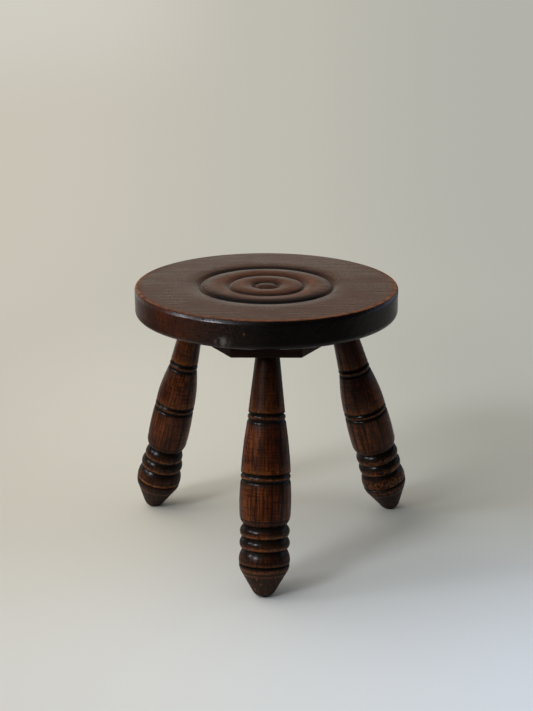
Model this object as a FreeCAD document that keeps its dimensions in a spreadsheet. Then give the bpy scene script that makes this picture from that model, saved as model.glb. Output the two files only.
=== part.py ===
import FreeCAD, Part
import os
import Sketcher

# A three-legged turned wooden stool: a round seat with turned rings, a block under it and raked legs.
# Millimetres and degrees, +Z up. The origin lies on the floor under the seat's axis, and -Y is the front.

# Sizes shared by the whole stool: name, value, meaning
SHARED_SIZES = [
    ("seat_radius", 140.6, "outer radius of the seat board"),
    ("seat_height", 292, "flat top of the seat above the floor"),
    ("seat_thickness", 30.4, "seat board, top to underside"),
    ("seat_top_edge_radius", 3, "rounding of the seat's upper edge"),
    ("seat_bottom_edge_radius", 5.5, "rounding of the seat's lower edge"),
    ("seat_ring_depth", 3.4, "deepest of the rings turned into the seat's top"),
    ("block_inset", 30.6, "seat's edge to each short end of the block"),
    ("block_end_width", 72, "width of each short end of the block"),
    ("block_angle", -90, "direction of the block's first short end from the seat's axis"),
    ("block_thickness", 17, "block, top to underside"),
    ("block_corner_radius", 2, "rounding of the block's upright corners"),
    ("block_chamfer_width", 1, "chamfer round the block's underside"),
    ("bore_inset", 20.5, "short end of the block to each leg's axis, at the seat's underside"),
    ("tenon_taper_share", 0.1, "radius that a tenon loses, as a share of its length"),
    ("tenon_gap", 0.1, "glue line round each tenon"),
    ("ring_half_length", 4.9, "half the length of a pair of ring grooves on a leg"),
    ("ring_groove_offset", 3.4, "middle of a ring bead to the bottom of each groove beside it"),
    ("ring_groove_depth", 1.5, "depth of the ring grooves on a leg"),
    ("ring_shoulder_length", 1.8, "length of the rounding under a pair of ring grooves"),
    ("ring_shoulder_drop", 0.35, "how far that rounding falls before it enters the groove"),
    ("ring_bead_half_length", 1.8, "half the length of the bead between two ring grooves"),
    ("ring_bead_height", 0.5, "rise of that bead between its ends and its middle"),
    ("wedge_thickness", 3, "wedge at the tenon's end"),
    ("wedge_tip_thickness", 0.6, "wedge at its thin edge"),
    ("wedge_depth", 11, "how far a wedge reaches into its tenon"),
    ("wedge_end_gap", 1, "side of the tenon to each end of its wedge, at the seat's underside"),
    ("screw_inset", 31, "how much nearer to the seat's axis the screws stand than the legs' bores"),
    ("screw_angle", 90, "direction of the first screw from the seat's axis"),
    ("screw_grip_depth", 17.3, "how far a screw reaches into the seat"),
    ("screw_sink_depth", 0.3, "head face below the block's underside"),
    ("screw_head_radius", 4.5, "countersunk head"),
    ("screw_head_angle", 90, "full angle of the countersunk head"),
    ("screw_shank_radius", 2.2, "shank of the screw"),
    ("screw_point_length", 5, "tapered point of the screw"),
    ("screw_slot_width", 1.1, "driver slot"),
    ("screw_slot_depth", 1.2, "depth of the driver slot"),
    ("screw_gap", 0.2, "clearance round the shank in the block"),
    ("pilot_gap", 0.05, "clearance round the shank in the seat"),
    ("cut_overrun_length", 6, "how far a cutter runs past what it cuts"),
]

# What the sizes of a leg mean
LEG_MEANINGS = {
    "bore_angle": "direction of the leg's bore from the seat's axis",
    "swing_angle": "how far the leg's lean turns away from that direction",
    "splay_angle": "lean of the leg from upright",
    "tenon_radius": "leg where it enters the block",
    "belly_radius": "thickest place of the shank",
    "upper_ring_radius": "bead between the upper ring grooves",
    "bead_1_radius": "upper bead",
    "bead_2_radius": "lower bead",
    "ball_radius": "ball of the foot",
    "neck_height": "neck under the belly, measured up the leg's axis",
    "lower_ring_height": "middle of the lower ring bead, measured up the leg's axis",
    "upper_ring_height": "middle of the upper ring bead, measured up the leg's axis",
}

# The legs in their order round the seat, and the sizes of each: all three were turned by hand and differ
LEGS = ("front", "right", "left")
LEG_SIZES = [
    ("front_bore_angle", -89),
    ("front_swing_angle", -4.6),
    ("front_splay_angle", 12.8),
    ("front_tenon_radius", 12.1),
    ("front_belly_radius", 26.7),
    ("front_upper_ring_radius", 19.4),
    ("front_bead_1_radius", 25.6),
    ("front_bead_2_radius", 25.9),
    ("front_ball_radius", 26.1),
    ("front_neck_height", 74.8),
    ("front_lower_ring_height", 124.8),
    ("front_upper_ring_height", 186.3),
    ("right_bore_angle", 31.1),
    ("right_swing_angle", -14.7),
    ("right_splay_angle", 16.1),
    ("right_tenon_radius", 12.2),
    ("right_belly_radius", 25.6),
    ("right_upper_ring_radius", 18.0),
    ("right_bead_1_radius", 24.4),
    ("right_bead_2_radius", 24.6),
    ("right_ball_radius", 25.3),
    ("right_neck_height", 80.9),
    ("right_lower_ring_height", 132.4),
    ("right_upper_ring_height", 186),
    ("left_bore_angle", 147.9),
    ("left_swing_angle", 8.4),
    ("left_splay_angle", 13.9),
    ("left_tenon_radius", 11.4),
    ("left_belly_radius", 23.4),
    ("left_upper_ring_radius", 16.1),
    ("left_bead_1_radius", 21.6),
    ("left_bead_2_radius", 23.9),
    ("left_ball_radius", 25.2),
    ("left_neck_height", 79),
    ("left_lower_ring_height", 135),
    ("left_upper_ring_height", 187.6),
]

# Turned rings of the seat, from the flat inwards: kind, share of seat_radius, share of seat_ring_depth
SEAT_RING_SHARES = [
    ("corner", 0.6472, 0),
    ("bow", 0.6017, 0.056),
    ("corner", 0.5590, 0.206),
    ("bow", 0.5270, 0.529),
    ("corner", 0.5064, 1),
    ("bow", 0.4979, 0.559),
    ("corner", 0.4808, 0.279),
    ("bow", 0.4267, 0.035),
    ("corner", 0.3556, 0.147),
    ("bow", 0.3201, 0.412),
    ("corner", 0.2859, 0.971),
    ("bow", 0.2774, 0.559),
    ("corner", 0.2617, 0.294),
    ("bow", 0.2027, 0.024),
    ("corner", 0.1422, 0.221),
    ("bow", 0.1138, 0.500),
    ("corner", 0.0939, 1),
    ("bow", 0.0640, 0.441),
    ("corner", 0.0228, 0.162),
    ("corner", 0, 0.162),
]

# Foot of a leg, from its nose up to the neck: kind, size of the leg, share of it, share of neck_height
FOOT_SHARES = [
    ("corner", "ball_radius", 0, -0.013),
    ("bow", "ball_radius", 0.270, 0.007),
    ("corner", "ball_radius", 0.440, 0.062),
    ("corner", "ball_radius", 0.950, 0.370),
    ("bow", "ball_radius", 0.983, 0.405),
    ("corner", "ball_radius", 0.998, 0.442),
    ("corner", "ball_radius", 0.945, 0.456),
    ("corner", "ball_radius", 1, 0.470),
    ("bow", "ball_radius", 0.988, 0.575),
    ("corner", "ball_radius", 0.873, 0.658),
    ("bow", "bead_2_radius", 1, 0.748),
    ("corner", "bead_2_radius", 0.883, 0.829),
    ("bow", "bead_1_radius", 1, 0.914),
    ("corner", "bead_1_radius", 0.848, 1),
]

# Belly of a leg, from the neck up to the lower rings: kind, share of belly_radius, share of the way up
BELLY_SHARES = [
    ("bow", 0.930, 0.100),
    ("corner", 0.985, 0.252),
    ("bow", 1, 0.550),
]

# Ring pairs of a leg: under the rings, their bead, above the rings
LOWER_RING_SHARES = (0.968, 0.96, 0.956)
UPPER_RING_SHARES = (1.035, 1, 0.968)

# Middle of the shank between the ring pairs: share of belly_radius, share of the way up
SHANK_BOW_SHARES = (0.872, 0.520)

# Middle of a quarter round, as a share of its radius
QUARTER_BOW_SHARE = 0.292893

# Screws through the block into the seat
SCREW_COUNT = 3

# Spreadsheet, and the places worked out from it that several pieces share
SHEET = "Sizes"
UNDERSIDE = f"({SHEET}.seat_height - {SHEET}.seat_thickness)"
BLOCK_BOTTOM = f"({UNDERSIDE} - {SHEET}.block_thickness)"
BLOCK_REACH = f"({SHEET}.seat_radius - {SHEET}.block_inset)"
BORE_CIRCLE = f"({BLOCK_REACH} - {SHEET}.bore_inset)"
SCREW_CIRCLE = f"({BORE_CIRCLE} - {SHEET}.screw_inset)"


def size(name):
    """Return the cell of a shared size, for use in an expression."""
    return f"{SHEET}.{name}"


def leg_size(leg, name):
    """Return the cell of one leg's size, for use in an expression."""
    return f"{SHEET}.{leg}_{name}"


def fill_sheet(doc):
    """Write every driving size into the spreadsheet, one aliased cell each."""
    sheet = doc.addObject("Spreadsheet::Sheet", SHEET)
    rows = list(SHARED_SIZES)
    for name, value in LEG_SIZES:
        leg, kind = name.split("_", 1)
        rows.append((name, value, f"{leg} leg: {LEG_MEANINGS[kind]}"))
    for number, (name, value, meaning) in enumerate(rows, start=1):
        sheet.set(f"A{number}", name)
        sheet.set(f"B{number}", str(value))
        sheet.set(f"C{number}", meaning)
        sheet.setAlias(f"B{number}", name)
    doc.recompute()


def origin_part(body, role):
    """Return the body's own origin plane or axis of that role."""
    return next(part for part in body.Origin.OriginFeatures if part.Role == role)


def new_sketch(body, name, plane):
    """Add a sketch to the body on one of its origin planes."""
    sketch = body.newObject("Sketcher::SketchObject", name)
    sketch.AttachmentSupport = [(origin_part(body, plane), "")]
    sketch.MapMode = "FlatFace"
    return sketch


def hold_point(sketch, element, point, place, constraints, expressions):
    """Hold one point of a sketch at a pair of expressions: list its constraints and what drives them."""
    for kind, axis, expression in zip(("DistanceX", "DistanceY"), (-2, -1), place):
        if expression == "0":
            constraints.append(Sketcher.Constraint("PointOnObject", element, point, axis))
            continue
        value = sketch.evalExpression(expression)
        expressions.append((len(constraints), expression))
        constraints.append(Sketcher.Constraint(kind, element, point, value))


def draw_outline(sketch, outline):
    """Draw a closed outline of (kind, across, up) points: lines join corners, and a bow makes an arc."""
    places = [(kind, (across, up)) for kind, across, up in outline]
    points = []
    for _, (across, up) in places:
        points.append(FreeCAD.Vector(sketch.evalExpression(across), sketch.evalExpression(up), 0))
    corners = [index for index, (kind, _) in enumerate(places) if kind == "corner"]
    shapes = []
    ends = []
    bows = []
    for index, following in zip(corners, corners[1:] + corners[:1]):
        start, end = points[index], points[following]
        between = index + 1
        if between < len(places) and places[between][0] == "bow":
            middle = points[between]
            turns_left = (middle - start).cross(end - start).z > 0
            first, last = (start, end) if turns_left else (end, start)
            bows.append((between, len(shapes)))
            shapes.append(Part.Arc(first, middle, last))
            ends.append((1, 2) if turns_left else (2, 1))
        else:
            shapes.append(Part.LineSegment(start, end))
            ends.append((1, 2))
    sketch.addGeometry(shapes, False)
    marks = [Part.Point(points[index]) for index, _ in bows]
    first_mark = len(shapes)
    if marks:
        sketch.addGeometry(marks, True)

    constraints = []
    expressions = []
    for element, index in enumerate(corners):
        before = element - 1 if element else len(shapes) - 1
        near_end = ends[element][0]
        constraints.append(Sketcher.Constraint("Coincident", before, ends[before][1], element, near_end))
        hold_point(sketch, element, near_end, places[index][1], constraints, expressions)
    for mark, (index, arc) in enumerate(bows, start=first_mark):
        hold_point(sketch, mark, 1, places[index][1], constraints, expressions)
        constraints.append(Sketcher.Constraint("PointOnObject", mark, 1, arc))
    sketch.addConstraint(constraints)
    for number, expression in expressions:
        sketch.setExpression(f"Constraints[{number}]", expression)


def draw_circle(sketch, across, up, radius):
    """Draw one circle whose middle and radius are bound to expressions."""
    middle = FreeCAD.Vector(sketch.evalExpression(across), sketch.evalExpression(up), 0)
    value = sketch.evalExpression(radius)
    circle = sketch.addGeometry(Part.Circle(middle, FreeCAD.Vector(0, 0, 1), value), False)
    for kind, expression in (("DistanceX", across), ("DistanceY", up)):
        value_now = sketch.evalExpression(expression)
        number = sketch.addConstraint(Sketcher.Constraint(kind, circle, 3, value_now))
        sketch.setExpression(f"Constraints[{number}]", expression)
    number = sketch.addConstraint(Sketcher.Constraint("Radius", circle, value))
    sketch.setExpression(f"Constraints[{number}]", radius)


def new_body(doc, label):
    """Add a body for one piece of the stool."""
    body = doc.addObject("PartDesign::Body", label)
    body.Label = label
    return body


def turn(body, outline):
    """Turn a half-outline about the body's upright axis."""
    sketch = new_sketch(body, f"{body.Label}_outline", "XZ_Plane")
    draw_outline(sketch, outline)
    turned = body.newObject("PartDesign::Revolution", f"{body.Label}_turned")
    turned.Profile = sketch
    turned.ReferenceAxis = (sketch, ["V_Axis"])
    turned.Angle = 360
    body.Document.recompute()
    return turned


def check_cut(cut, before):
    """Stop if a cutting feature took nothing away."""
    cut.Document.recompute()
    if not cut.Shape.Volume < before:
        raise RuntimeError(f"{cut.Label} cuts nothing")


def pocket_through(body, name, plane, outline):
    """Cut an outline through the whole body, on both sides of the plane."""
    before = body.Shape.Volume
    sketch = new_sketch(body, f"{name}_outline", plane)
    draw_outline(sketch, outline)
    pocket = body.newObject("PartDesign::Pocket", name)
    pocket.Profile = sketch
    pocket.Type = "ThroughAll"
    pocket.SideType = "Symmetric"
    check_cut(pocket, before)


def repeat_round(body, feature, name):
    """Repeat a feature evenly round the body's upright axis, once for each screw."""
    pattern = body.newObject("PartDesign::PolarPattern", name)
    pattern.Originals = [feature]
    pattern.Axis = (origin_part(body, "Z_Axis"), [""])
    pattern.Angle = 360
    pattern.Occurrences = SCREW_COUNT
    body.Tip = pattern
    body.Document.recompute()


def edges_where(shape, wanted):
    """Name the edges of a shape that pass a test."""
    return [f"Edge{number}" for number, edge in enumerate(shape.Edges, start=1) if wanted(edge)]


def heading(leg):
    """Return the direction in which a leg's foot stands out."""
    return f"({leg_size(leg, 'bore_angle')} + {leg_size(leg, 'swing_angle')})"


def leg_place(leg, floor_level="0", along="0"):
    """Return the placement of a leg's axis, its origin moved up that axis by a length."""
    splay = leg_size(leg, "splay_angle")
    bore = leg_size(leg, "bore_angle")
    reach = f"({UNDERSIDE} * tan({splay}) - ({along}) * sin({splay}))"
    across = f"{BORE_CIRCLE} * cos({bore}) + {reach} * cos({heading(leg)})"
    back = f"{BORE_CIRCLE} * sin({bore}) + {reach} * sin({heading(leg)})"
    up = f"({along}) * cos({splay}) - ({floor_level})"
    return f"placement(vector({across}; {back}; {up}); rotation({heading(leg)}; -{splay}; 0))"


def up_axis(leg, level, across="0"):
    """Return how far up a leg's own axes a level plane lies, at a distance across the leg's lean."""
    splay = leg_size(leg, "splay_angle")
    return f"({level} / cos({splay}) - ({across}) * tan({splay}))"


def tenon_end_radius(leg):
    """Return the radius of a leg's tenon at the seat's underside."""
    length = up_axis(leg, size("block_thickness"))
    return f"({leg_size(leg, 'tenon_radius')} - {size('tenon_taper_share')} * {length})"


def screw_place(angle):
    """Return the place of a screw, across and back from the seat's axis, in the direction of an angle."""
    return f"{SCREW_CIRCLE} * cos({angle})", f"{SCREW_CIRCLE} * sin({angle})"


def seat_outline():
    """Return the half-outline of the seat, from its axis round the rim and in over the rings."""
    radius = size("seat_radius")
    thick = size("seat_thickness")
    low = size("seat_bottom_edge_radius")
    high = size("seat_top_edge_radius")
    bow = QUARTER_BOW_SHARE
    points = [
        ("corner", "0", "0"),
        ("corner", f"{radius} - {low}", "0"),
        ("bow", f"{radius} - {low} * {bow}", f"{low} * {bow}"),
        ("corner", radius, low),
        ("corner", radius, f"{thick} - {high}"),
        ("bow", f"{radius} - {high} * {bow}", f"{thick} - {high} * {bow}"),
        ("corner", f"{radius} - {high}", thick),
    ]
    for kind, across, down in SEAT_RING_SHARES:
        place = f"{radius} * {across}" if across else "0"
        points.append((kind, place, f"{thick} - {size('seat_ring_depth')} * {down}"))
    return points


def make_seat(doc):
    """Make the seat board with its turned rings and the pilot holes for the screws."""
    body = new_body(doc, "seat")
    turn(body, seat_outline())
    before = body.Shape.Volume
    sketch = new_sketch(body, "seat_pilot_place", "XY_Plane")
    across, back = screw_place(size("screw_angle"))
    draw_circle(sketch, across, back, f"{size('screw_shank_radius')} + {size('pilot_gap')}")
    pilot = body.newObject("PartDesign::Pocket", "seat_pilot")
    pilot.Profile = sketch
    pilot.Type = "Length"
    pilot.Reversed = True
    pilot.setExpression("Length", f"{size('screw_grip_depth')} + {size('pilot_gap')}")
    check_cut(pilot, before)
    repeat_round(body, pilot, "seat_pilots")
    body.setExpression("Placement", f"placement(vector(0; 0; {UNDERSIDE}); rotation(0; 0; 0))")
    return body


def block_outline():
    """Return the block's outline: an even triangle whose corners are cut off, one for each leg."""
    half = f"{size('block_end_width')} / 2"
    points = []
    for number in range(len(LEGS)):
        angle = f"({size('block_angle')} + {number} * 360 / {len(LEGS)})"
        for side in ("-", "+"):
            across = f"{BLOCK_REACH} * cos({angle}) - ({side}{half}) * sin({angle})"
            back = f"{BLOCK_REACH} * sin({angle}) + ({side}{half}) * cos({angle})"
            points.append(("corner", across, back))
    return points


def bore_block(body, leg):
    """Bore the tapered hole for one leg's tenon through the block."""
    before = body.Shape.Volume
    taper = size("tenon_taper_share")
    overrun = f"2 * {size('cut_overrun_length')}"
    start = f"{up_axis(leg, BLOCK_BOTTOM)} - {overrun}"
    length = f"{up_axis(leg, size('block_thickness'))} + 2 * {overrun}"
    mouth = f"{leg_size(leg, 'tenon_radius')} + {size('tenon_gap')} + {taper} * {overrun}"
    bore = body.newObject("PartDesign::SubtractiveCone", f"block_bore_{leg}")
    bore.setExpression("Radius1", mouth)
    bore.setExpression("Radius2", f"{mouth} - {taper} * ({length})")
    bore.setExpression("Height", length)
    bore.setExpression("Placement", leg_place(leg, BLOCK_BOTTOM, start))
    check_cut(bore, before)


def make_block(doc):
    """Make the block that holds the legs, with its bores and countersunk screw holes."""
    body = new_body(doc, "under_block")
    sketch = new_sketch(body, "block_outline", "XY_Plane")
    draw_outline(sketch, block_outline())
    board = body.newObject("PartDesign::Pad", "block_board")
    board.Profile = sketch
    board.setExpression("Length", size("block_thickness"))
    doc.recompute()

    rounding = body.newObject("PartDesign::Fillet", "block_corners")
    upright = edges_where(board.Shape, lambda edge: edge.BoundBox.ZLength > edge.Length / 2)
    rounding.Base = (board, upright)
    rounding.setExpression("Radius", size("block_corner_radius"))
    doc.recompute()

    chamfer = body.newObject("PartDesign::Chamfer", "block_underside_edge")
    bottom = edges_where(rounding.Shape, lambda edge: edge.BoundBox.ZMax < board.Length.Value / 2)
    chamfer.Base = (rounding, bottom)
    chamfer.setExpression("Size", size("block_chamfer_width"))
    doc.recompute()

    for leg in LEGS:
        bore_block(body, leg)

    before = body.Shape.Volume
    place = new_sketch(body, "block_screw_place", "XY_Plane")
    across, back = screw_place(size("screw_angle"))
    draw_circle(place, across, back, size("screw_shank_radius"))
    doc.recompute()
    hole = body.newObject("PartDesign::Hole", "block_screw_hole")
    hole.Profile = place
    doc.recompute()
    hole.DepthType = "ThroughAll"
    hole.Reversed = True
    hole.HoleCutType = "Countersink"
    hole.HoleCutCustomValues = True
    mouth = f"{size('screw_head_radius')} + {size('screw_sink_depth')} * tan({size('screw_head_angle')} / 2)"
    hole.setExpression("HoleCutCountersinkAngle", size("screw_head_angle"))
    hole.setExpression("Diameter", f"2 * ({size('screw_shank_radius')} + {size('screw_gap')})")
    hole.setExpression("HoleCutDiameter", f"2 * ({mouth})")
    check_cut(hole, before)
    repeat_round(body, hole, "block_screw_holes")
    body.setExpression("Placement", f"placement(vector(0; 0; {BLOCK_BOTTOM}); rotation(0; 0; 0))")
    return body


def ring_pair(leg, height, radius, shares):
    """Return two ring grooves with a bead between them: shares of a radius, at a height on the axis."""
    middle = leg_size(leg, height)
    under, bead, over = (f"{leg_size(leg, radius)} * {share}" for share in shares)
    depth = size("ring_groove_depth")
    offset = size("ring_groove_offset")
    half = size("ring_bead_half_length")
    foot = f"{bead} - {size('ring_bead_height')}"
    return [
        ("corner", under, f"{middle} - {size('ring_half_length')} - {size('ring_shoulder_length')}"),
        ("bow", f"{under} - {size('ring_shoulder_drop')}", f"{middle} - {size('ring_half_length')}"),
        ("corner", f"{under} - {depth}", f"{middle} - {offset}"),
        ("corner", foot, f"{middle} - {half}"),
        ("bow", bead, middle),
        ("corner", foot, f"{middle} + {half}"),
        ("corner", f"{over} - {depth}", f"{middle} + {offset}"),
        ("corner", over, f"{middle} + {size('ring_half_length')}"),
    ]


def leg_outline(leg):
    """Return the half-outline of a leg, from the nose of its foot to the end of its tenon."""
    neck = leg_size(leg, "neck_height")
    belly = leg_size(leg, "belly_radius")
    points = []
    for kind, name, across, up in FOOT_SHARES:
        place = f"{leg_size(leg, name)} * {across}" if across else "0"
        points.append((kind, place, f"{neck} * {up}"))
    low = f"({leg_size(leg, 'lower_ring_height')} - {size('ring_half_length')})"
    for kind, across, up in BELLY_SHARES:
        points.append((kind, f"{belly} * {across}", f"{neck} + ({low} - {neck}) * {up}"))
    points += ring_pair(leg, "lower_ring_height", "belly_radius", LOWER_RING_SHARES)
    across, up = SHANK_BOW_SHARES
    low = f"({leg_size(leg, 'lower_ring_height')} + {size('ring_half_length')})"
    high = f"({leg_size(leg, 'upper_ring_height')} - {size('ring_half_length')})"
    points.append(("bow", f"{belly} * {across}", f"{low} + ({high} - {low}) * {up}"))
    points += ring_pair(leg, "upper_ring_height", "upper_ring_radius", UPPER_RING_SHARES)
    shoulder = up_axis(leg, BLOCK_BOTTOM)
    length = f"({up_axis(leg, size('block_thickness'))} + {size('cut_overrun_length')})"
    tenon = leg_size(leg, "tenon_radius")
    end = f"{shoulder} + {length}"
    points.append(("corner", tenon, shoulder))
    points.append(("corner", f"{tenon} - {size('tenon_taper_share')} * {length}", end))
    points.append(("corner", "0", end))
    return points


def trim_outline(leg, level, beyond):
    """Return a cutter that takes off what lies past a level plane, above it or below it."""
    reach = f"2 * {leg_size(leg, 'belly_radius')}"
    past = f"({up_axis(leg, level)} {beyond} {reach})"
    return [
        ("corner", f"-{reach}", up_axis(leg, level, f"-{reach}")),
        ("corner", reach, up_axis(leg, level, reach)),
        ("corner", reach, past),
        ("corner", f"-{reach}", past),
    ]


def wedge_outline(leg):
    """Return a wedge in the plane of the leg's lean, its thick end level with the seat's underside."""
    thick = f"{size('wedge_thickness')} / 2"
    thin = f"{size('wedge_tip_thickness')} / 2"
    tip = f"{up_axis(leg, UNDERSIDE)} - {size('wedge_depth')}"
    return [
        ("corner", f"-{thick}", up_axis(leg, UNDERSIDE, f"-{thick}")),
        ("corner", thick, up_axis(leg, UNDERSIDE, thick)),
        ("corner", thin, tip),
        ("corner", f"-{thin}", tip),
    ]


def make_leg(doc, leg):
    """Make one turned leg: level foot, beads, belly, ring grooves and a split tapered tenon."""
    body = new_body(doc, f"leg_{leg}")
    turn(body, leg_outline(leg))
    pocket_through(body, f"leg_{leg}_level_foot", "XZ_Plane", trim_outline(leg, "0", "-"))
    pocket_through(body, f"leg_{leg}_level_top", "XZ_Plane", trim_outline(leg, UNDERSIDE, "+"))
    pocket_through(body, f"leg_{leg}_kerf", "XZ_Plane", wedge_outline(leg))
    body.setExpression("Placement", leg_place(leg))
    return body


def make_wedge(doc, leg):
    """Make the wedge that spreads a leg's tenon in the block."""
    body = new_body(doc, f"wedge_{leg}")
    sketch = new_sketch(body, f"wedge_{leg}_outline", "XZ_Plane")
    draw_outline(sketch, wedge_outline(leg))
    pad = body.newObject("PartDesign::Pad", f"wedge_{leg}_pad")
    pad.Profile = sketch
    pad.SideType = "Symmetric"
    pad.setExpression("Length", f"2 * ({tenon_end_radius(leg)} - {size('wedge_end_gap')})")
    body.setExpression("Placement", leg_place(leg))
    doc.recompute()
    return body


def make_screw(doc, number):
    """Make one slotted countersunk screw that holds the block to the seat."""
    body = new_body(doc, f"block_screw_{number}")
    head = size("screw_head_radius")
    shank = size("screw_shank_radius")
    length = f"({size('screw_grip_depth')} + {size('block_thickness')} - {size('screw_sink_depth')})"
    outline = [
        ("corner", "0", "0"),
        ("corner", head, "0"),
        ("corner", shank, f"({head} - {shank}) / tan({size('screw_head_angle')} / 2)"),
        ("corner", shank, f"{length} - {size('screw_point_length')}"),
        ("corner", "0", length),
    ]
    turn(body, outline)
    half = f"{size('screw_slot_width')} / 2"
    depth = size("screw_slot_depth")
    overrun = size("cut_overrun_length")
    slot = [
        ("corner", f"-{half}", f"-{overrun}"),
        ("corner", half, f"-{overrun}"),
        ("corner", half, depth),
        ("corner", f"-{half}", depth),
    ]
    pocket_through(body, f"block_screw_{number}_slot", "XZ_Plane", slot)
    angle = f"({size('screw_angle')} + {number - 1} * 360 / {SCREW_COUNT})"
    across, back = screw_place(angle)
    up = f"{BLOCK_BOTTOM} + {size('screw_sink_depth')}"
    body.setExpression("Placement", f"placement(vector({across}; {back}; {up}); rotation({angle}; 0; 0))")
    doc.recompute()
    return body


def check_document(doc, pieces):
    """Stop if an object failed, or a piece is empty, invalid or not one solid."""
    doc.recompute()
    for item in doc.Objects:
        if "Invalid" in item.State or "Error" in item.State:
            raise RuntimeError(f"{item.Label} failed: {item.State}")
    for piece in pieces:
        shape = piece.Shape
        if shape.isNull() or not shape.isValid() or len(shape.Solids) != 1:
            raise RuntimeError(f"{piece.Label} is not one valid solid")


def main():
    """Build the stool and write one file for each piece."""
    doc = FreeCAD.newDocument("turned_stool")
    fill_sheet(doc)
    pieces = [make_seat(doc), make_block(doc)]
    for leg in LEGS:
        pieces.append(make_leg(doc, leg))
        pieces.append(make_wedge(doc, leg))
    for number in range(1, SCREW_COUNT + 1):
        pieces.append(make_screw(doc, number))
    check_document(doc, pieces)
    os.makedirs("parts", exist_ok=True)
    for piece in pieces:
        piece.Shape.exportStep(f"parts/{piece.Label}.step")
        print(piece.Label, round(piece.Shape.Volume), piece.Shape.BoundBox)


main()
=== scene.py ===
"""Studio picture of a low three-legged turned stool. Metres, +Z up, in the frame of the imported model."""
import math

import bpy
from mathutils import Euler, Matrix, Vector

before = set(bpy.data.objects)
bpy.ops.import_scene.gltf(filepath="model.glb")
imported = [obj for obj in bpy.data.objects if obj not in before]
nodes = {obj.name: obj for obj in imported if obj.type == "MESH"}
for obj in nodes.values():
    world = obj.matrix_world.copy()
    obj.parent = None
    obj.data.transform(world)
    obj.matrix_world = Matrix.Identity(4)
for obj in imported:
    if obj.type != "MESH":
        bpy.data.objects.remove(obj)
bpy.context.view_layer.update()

# Camera fitted to the picture: height and focal length in pixels, place, turns in degrees
PICTURE_HEIGHT = 711
FOCAL_PIXELS = 1280.75
CAMERA_PLACE = (-0.00073, -1.3254, 0.64802)
CAMERA_PITCH_DEG = 18.2445
CAMERA_YAW_DEG = 0.0407
CAMERA_ROLL_DEG = 0.1141
SENSOR_WIDTH_MM = 36
CLIP_NEAR = 0.05
CLIP_FAR = 50

# Window light: name, direction it comes from, width in degrees, strength, colour
WINDOWS = [
    ("window_front", (-0.640, -0.540, 0.528), 14, 1.25, (236, 244, 255)),
    ("window_side", (-0.870, -0.120, 0.470), 13, 0.62, (236, 244, 255)),
]

# Backdrop: a round floor that curves up into a wall, all round the stool and the camera
FLOOR_RADIUS = 1.55
CURVE_RADIUS = 0.35
WALL_TOP = 0.95
CURVE_STEPS = 10
ROUND_STEPS = 96

# Where the floor's paper ends towards the camera, and how far it fades there
PAPER_EDGE = -0.42
PAPER_FADE = 0.1

# Wall and floor as the camera sees them
WALL_LEFT = (202, 196, 183)
WALL_UPPER_LEFT = (209, 206, 196)
WALL_MIDDLE = (191, 188, 177)
WALL_RIGHT = (178, 178, 170)
# The floor's darker far right is a painted shadow of the stool; its warm left and cool near right are
# painted tints of the light
FLOOR_FAR_LEFT = (206, 201, 188)
FLOOR_FAR_RIGHT_SHADOW = (168, 168, 161)
FLOOR_NEAR_LEFT = (220, 219, 214)
FLOOR_NEAR_RIGHT = (206, 214, 224)

# Light that the wall casts on the stool from each side
GLOW_BACK = (190, 187, 178)
GLOW_LEFT = (200, 197, 188)
GLOW_RIGHT = (160, 168, 178)
GLOW_FRONT = (34, 32, 32)

# What the gloss of the wood mirrors: the paper behind the stool, and the dim rest of the room
SHEEN_BACK = (166, 162, 152)
SHEEN_BACK_RIGHT = (98, 96, 92)
SHEEN_LOW = (230, 228, 220)
SHEEN_LEFT = (46, 46, 46)
SHEEN_RIGHT = (112, 111, 108)
SHEEN_FLOOR = (150, 146, 142)
SHEEN_FRONT = (116, 110, 106)
SHEEN_WINDOW = (168, 178, 204)
SHEEN_SKY = (16, 15, 15)

# Light of the room above the wall
SKY_LEFT = (255, 251, 243)
SKY_RIGHT = (124, 126, 130)
SKY_STRENGTH = 2.2

# Fades of those colours over the room: where each starts and is full, and its two shares if not 0 and 1
WALL_SIDEWAYS = (-0.75, 0.75)
WALL_LEFT_HALF = (0, 0.5)
WALL_RIGHT_HALF = (0.5, 1)
WALL_LEFTWARDS = (0.5, 0)
WALL_UPWARDS = (0.2, 0.5, 0, 0.9)
FLOOR_SIDEWAYS = (-0.3, 0.4)
FLOOR_FARAWAY = (-0.35, 0.1)
FLOOR_TO_WALL = (0.45, 1.15)
GLOW_SIDEWAYS = (-0.4, 0.4)
GLOW_BEHIND = (0.2, 1.2)
GLOW_BEFORE = (0, -0.9)
SHEEN_DOWNWARDS = (0.7, 0.3)
SHEEN_FAR_RIGHT = (-0.1, 1.0)
SHEEN_BESIDE_RIGHT = (-0.1, 0.4)
SHEEN_BESIDE_FRONT = (-0.1, -0.7)
SHEEN_BEHIND = (0.3, 1.5)
SHEEN_BEFORE = (0.1, -0.7)
SHEEN_FLOOR_ENDS = (0.3, 0.7)
SHEEN_FLOOR_FRONT = (-0.12, -0.42)
WINDOW_RIGHT = (0.9, 1.2)
WINDOW_UP = (0.28, 0.4)
WINDOW_BEHIND = (0, 0.3)
SKY_SIDEWAYS = (-0.6, 0.25)
SKY_BEFORE = (-0.25, -0.8)

# Seat: outer radius, top, rounding of its upper edge
SEAT_RADIUS = 0.1406
SEAT_TOP = 0.292
SEAT_EDGE = 0.003
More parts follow.
